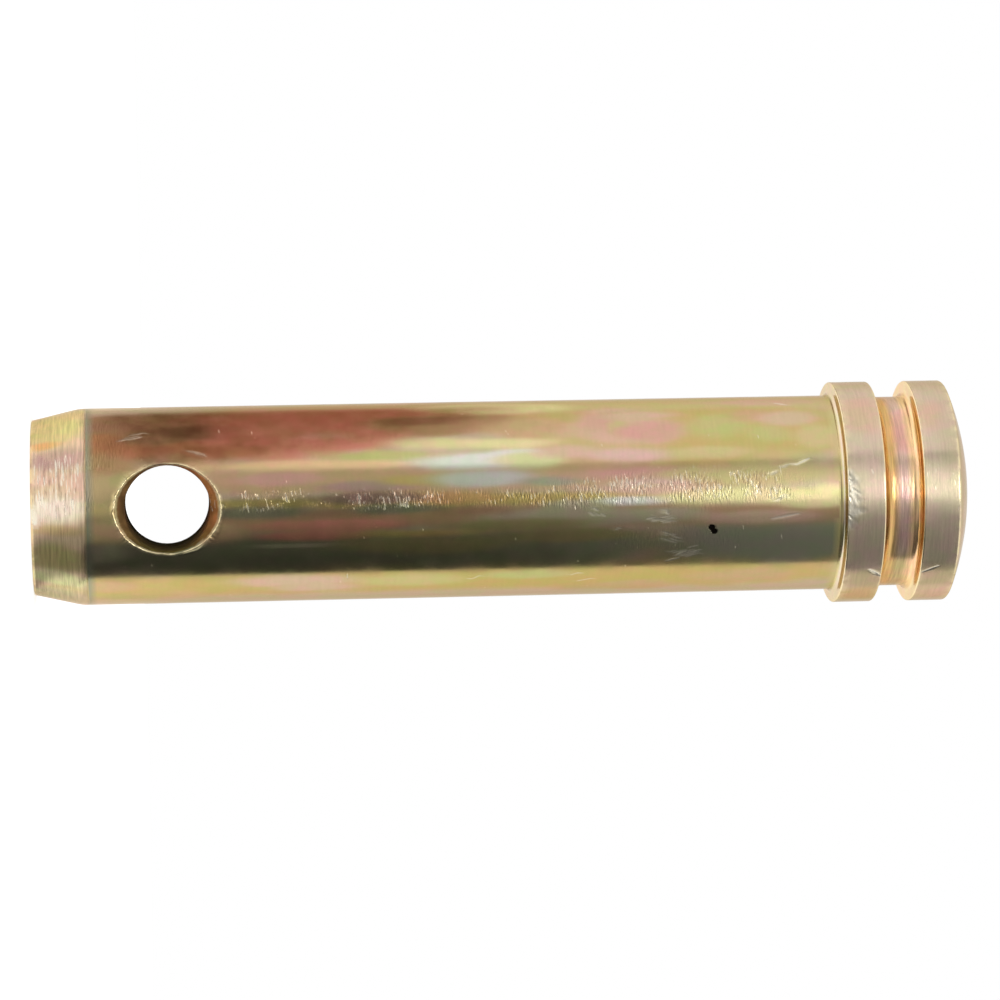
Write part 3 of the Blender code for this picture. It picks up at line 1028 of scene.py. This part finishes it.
def wire_steel(material, roughness, fine, coarse, bands, nick_depth, wave, spread=0.0, stroke=1.0,
               scrape_and_glint=0.42, gap=0.25, marks_turned=0.0, metallic=1.0, gloss=0.5):
    """Wires one surface. Its heights are in millimetres, because the bump distance is one."""
    material.use_nodes = True
    tree = material.node_tree
    tree.nodes.clear()
    place = add(tree, "ShaderNodeTexCoord").outputs["Object"]
    steel = add(tree, "ShaderNodeBsdfPrincipled", {"Metallic": metallic, "Specular Tint": GRAZING_TINT})
    steel.inputs["Specular IOR Level"].default_value = gloss
    # the mesh's colours, which also hold the bore's painted shade and one painted reflection ring
    film_with_painted_shade = add(tree, "ShaderNodeAttribute", attribute_name="film_with_painted_shade").outputs["Color"]
    turned = {"Vector": place, "Angle": marks_turned}
    tool_axis = add(tree, "ShaderNodeVectorRotate", turned, rotation_type="X_AXIS").outputs[0]
    marks = use_group(tree, tool_marks, {"Vector": tool_axis, "Fine": fine, "Coarse": coarse})
    colour = use_group(tree, plating, {"Vector": tool_axis, "Film With Shade": film_with_painted_shade, "Bands": bands})["Color"]
    shortened = {"Vector": place, "Scale": (1 / stroke, 1 / stroke, 1)}
    struck = add(tree, "ShaderNodeMapping", shortened).outputs[0]
    nick = use_group(tree, nicks, {"Vector": struck, "Rub": attribute(tree, "rub"), "Spread": spread})
    wear = between(tree, stretched_noise(tree, place, 700, 700, 3.0), 0.35, 0.58, 0.15, 1.0)
    edge = calc(tree, "MULTIPLY", attribute(tree, "edge"), wear)
    colour = blend(tree, calc(tree, "MULTIPLY", edge, 0.7), colour, WORN_GOLD)
    # fresh and scraped metal is bare, the glittering specks get a painted glint, and the gaps get painted
    # shade
    scraped_and_glint = calc(tree, "MAXIMUM", attribute(tree, "fresh"), calc(tree, "MULTIPLY", nick["Mask"], scrape_and_glint))
    colour = blend(tree, scraped_and_glint, colour, BARE_METAL_AND_GLINT)
    colour = blend(tree, calc(tree, "MULTIPLY", nick["Gap"], gap), colour, GAP_SHADE_BROWN)
    # the pit is painted near black as shade, and made rough
    pit = attribute(tree, "pit")
    feed(tree, steel.inputs["Base Color"], blend(tree, pit, colour, PIT_SHADE_BLACK))
    patchy = stretched_noise(tree, place, 380, 300, 3.0)
    rough = between(tree, patchy, 0.25, 0.75, roughness * 0.8, roughness * 1.3)
    feed(tree, steel.inputs["Roughness"], calc(tree, "MAXIMUM", rough, calc(tree, "MULTIPLY", pit, 0.8)))
    waves = calc(tree, "MULTIPLY", stretched_noise(tree, place, 240, 150, 2.0), wave)
    height = calc(tree, "ADD", waves, marks["Height"])
    height = calc(tree, "MULTIPLY_ADD", nick["Height"], nick_depth, height)
    bump = add(tree, "ShaderNodeBump", {"Height": height, "Strength": 1.0, "Distance": MM})
    feed(tree, steel.inputs["Normal"], bump.outputs[0])
    add(tree, "ShaderNodeOutputMaterial", {"Surface": steel.outputs[0]})


wire_steel(shank_steel, 0.17, fine=0.0006, coarse=0.0, bands=0.10, nick_depth=0.042, wave=0.012)
wire_steel(turned_steel, 0.20, fine=0.0030, coarse=0.004, bands=0.25, nick_depth=0.010, wave=0.010)
wire_steel(faced_steel, 0.20, fine=0.0060, coarse=0.020, bands=0.9, nick_depth=0.075, wave=0.010,
           spread=0.95, stroke=2.4, scrape_and_glint=0.7, gap=0.38)
wire_steel(drilled_steel, 0.55, fine=0.0080, coarse=0.012, bands=0.3, nick_depth=0.0, wave=0.010,
           marks_turned=pi / 2, metallic=0.08, gloss=0.0)
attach(pin, "root")
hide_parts("lower_link_pin")
print("materials:", [m.name for m in pin_mesh.materials])

# %% [markdown]
# ## The studio
# Shiny metal shows its surroundings, so the studio is the second half of its look. The world and the
# floor are white. The floor is a plain pale surface that keeps the pin's shadow, and a little glow
# on top of its light makes it white to the camera and in the metal.

# %% Floor and world
FLOOR_HALF = 2.5
FLOOR_GREY = 0.86
FLOOR_LIFT = 0.42  # what the camera and the metal see on top of the lit floor, to make it white


def glow_material(name):
    material = bpy.data.materials.new(name)
    material.use_nodes = True
    material.node_tree.nodes.clear()
    return material, material.node_tree


floor_mesh = bpy.data.meshes.new("floor")
floor_corners = [(x * FLOOR_HALF, y * FLOOR_HALF, 0) for x, y in ((-1, -1), (1, -1), (1, 1), (-1, 1))]
floor_mesh.from_pydata(floor_corners, [], [(0, 1, 2, 3)])
floor = bpy.data.objects.new("floor", floor_mesh)
bpy.context.collection.objects.link(floor)
material, tree = glow_material("pale_floor")
seen = add(tree, "ShaderNodeLightPath").outputs
directly = calc(tree, "MAXIMUM", seen["Is Camera Ray"], seen["Is Glossy Ray"])
directly = calc(tree, "MAXIMUM", directly, seen["Is Transmission Ray"])
lit = add(tree, "ShaderNodeBsdfDiffuse", {"Color": (FLOOR_GREY, FLOOR_GREY, FLOOR_GREY, 1)})
lift = add(tree, "ShaderNodeEmission", {"Strength": calc(tree, "MULTIPLY", directly, FLOOR_LIFT)})
both = add(tree, "ShaderNodeAddShader")
tree.links.new(lit.outputs[0], both.inputs[0])
tree.links.new(lift.outputs[0], both.inputs[1])
add(tree, "ShaderNodeOutputMaterial", {"Surface": both.outputs[0]})
floor_mesh.materials.append(material)

world = bpy.data.worlds.new("white_studio")
bpy.context.scene.world = world
world.use_nodes = True
world.node_tree.nodes["Background"].inputs["Color"].default_value = (1, 1, 1, 1)
world.node_tree.nodes["Background"].inputs["Strength"].default_value = 1.0
print("floor and world are white")

# %% [markdown]
# ## Glowing cards
# In the photo, something mid-grey stands on the camera's side: the shank shows it as a dark band
# with crisp edges. Here that is a curved card that stands round the pin, and each of its points
# glows as brightly as the band shows there. A lamp box above the camera gives the nicks and tool
# marks their sparkle, and a low warm card dims the brown side near the tip. A mat just above the floor is
# what the taper shows, because its surface leans towards the floor; only reflections see it, and its glow
# is painted light and shade of the floor. The camera doesn't see any of them.

# %% Cards, lamp box and mat
# sizes and places are in metres, and directions in degrees from the camera's towards -X
CARD_ROWS = 24
DARK_DISTANCE, DARK_TOP = 0.5, 0.36
DARK_SPAN = (-90, 40)
DARK_CARD_GLOW = [
    # direction, glow low down, glow level with the head
    (40, 0.60, 0.60), (34, 0.60, 0.62), (25, 0.62, 0.92), (12, 0.48, 1.25), (5, 0.28, 1.45),
    (-6, 0.22, 1.42), (-9, 0.22, 0.85), (-14, 0.24, 0.72), (-21, 0.29, 0.54), (-28, 0.24, 0.38),
    (-34, 0.20, 0.37), (-42, 0.135, 0.34), (-53, 0.120, 0.30), (-66, 0.092, 0.29), (-90, 0.075, 0.28),
]
LOW, LEVEL = 0.085, 0.215  # heights at which the two glows hold
FLOOR_GLOW = 0.16  # what the floor's light adds to the foot of the card
FOOT = 0.03


def dark_card_glow(direction, height):
    """The card's glow between the rows of its table."""
    table = DARK_CARD_GLOW
    for (a, low_a, level_a), (b, low_b, level_b) in zip(table, table[1:]):
        if b <= direction <= a:
            t = (a - direction) / (a - b)
            low, level = low_a + (low_b - low_a) * t, level_a + (level_b - level_a) * t
            break
    low_down = ease((FOOT - height) / FOOT)
    by_floor = FLOOR_GLOW * low_down * ease((direction + 46) / 10) * ease((-direction) / 8)
    return low + (level - low) * ease((height - LOW) / (LEVEL - LOW)) + by_floor


def studio_card(name, directions, columns, spot, shade):
    """A glowing card. spot gives a place on it for a direction and a step from 0 to 1 across it."""
    first, last = directions
    corners, glows = [], []
    rows = CARD_ROWS
    for c in range(columns + 1):
        direction = first + (last - first) * c / columns
        for r in range(rows + 1):
            height, distance = spot(direction, r / rows)
            corners.append(on_surface(height, radians(direction) + CAMERA_AZIMUTH, distance))
            glows.append(shade(direction, height, distance))
    faces = []
    for c in range(columns):
        for r in range(rows):
            k = c * (rows + 1) + r
            faces.append((k, k + rows + 1, k + rows + 2, k + 1))
    mesh = bpy.data.meshes.new(name)
    mesh.from_pydata(corners, [], faces)
    layer = mesh.color_attributes.new("glow", "FLOAT_COLOR", "POINT")
    for i, glow in enumerate(glows):
        layer.data[i].color = (*glow, 1.0)
    material, tree = glow_material(name)
    painted_glow = add(tree, "ShaderNodeAttribute", attribute_name="glow").outputs["Color"]
    shine = add(tree, "ShaderNodeEmission", {"Color": painted_glow})
    add(tree, "ShaderNodeOutputMaterial", {"Surface": shine.outputs[0]})
    mesh.materials.append(material)
    card = bpy.data.objects.new(name, mesh)
    bpy.context.collection.objects.link(card)
    card.visible_camera = False
    return card


def standing(low, high, distance):
    """The spots of an upright card between two heights, of which the upper may change with direction."""
    top = high if callable(high) else lambda direction: high
    return lambda direction, step: (low + (top(direction) - low) * step, distance)


def grey(value):
    return (value, value, value)


def dark_glow(direction, height, distance):
    return grey(dark_card_glow(direction, height))


studio_card("dark_card", DARK_SPAN, 130, standing(0.0, DARK_TOP, DARK_DISTANCE), dark_glow)

# direction and height of the warm card's upper edge
WARM_EDGE = [(40, 0.026), (52, 0.044), (62, 0.060), (84, 0.088), (112, 0.104), (150, 0.112)]
WARM_SPAN = (40, 150)
WARM_DISTANCE = 0.49
WARM_COLOUR = (0.42, 0.31, 0.25)
BEHIND_GLOW = 0.85


def warm_top(direction):
    for (a, low), (b, high) in zip(WARM_EDGE, WARM_EDGE[1:]):
        if direction <= b:
            return low + (high - low) * (direction - a) / (b - a)
    return WARM_EDGE[-1][1]


def warm_glow(direction, height, distance):
    level = 0.65 + 0.35 * ease(height / 0.05)
    behind = ease((direction - 128) / 18)
    return tuple(level * part + behind * (BEHIND_GLOW - level * part) for part in WARM_COLOUR)


studio_card("warm_card", WARM_SPAN, 70, standing(0.0, warm_top, WARM_DISTANCE), warm_glow)

LAMP_SPAN = (-9, 16)
LAMP_BOTTOM, LAMP_TOP, LAMP_DISTANCE = 0.22, 0.46, 0.47
LAMP_GLOW = 4.5
LAMP_DARK_BELOW, LAMP_FADE = 0.20, 0.12


def lamp_glow(direction, height, distance):
    return grey(LAMP_GLOW * ease((height - LAMP_DARK_BELOW) / LAMP_FADE))


studio_card("lamp_box", LAMP_SPAN, 20, standing(LAMP_BOTTOM, LAMP_TOP, LAMP_DISTANCE), lamp_glow)

MAT_NEAR, MAT_FAR = TIP_END + 0.0002, 0.497
MAT_HEIGHT = 0.0003


def mat_spot(direction, step):
    return (MAT_HEIGHT, MAT_NEAR + (MAT_FAR - MAT_NEAR) * step**2)


def mat_glow(direction, height, distance):
    """What the taper shows: painted light and shade of the floor, bright before it, dim under the dark
    card's side, white at both sides.
    """
    bright = 1.0 + 0.15 * ease((direction + 14) / 14) * ease((44 - direction) / 30)
    near = bright - 0.58 * ease((-10 - direction) / 16) * ease((direction + 78) / 16)
    side = ease((direction + 18) / 16)
    far = ease((distance - 0.02 - 0.23 * side) / (0.05 + 0.09 * side))
    return grey(near + (dark_card_glow(direction, 0.0) - near) * far)


mat = studio_card("floor_mat", DARK_SPAN, 130, mat_spot, mat_glow)
# the mat is seen only in reflections, as a painted floor with painted shade
mat.visible_diffuse = False
mat.visible_shadow = False
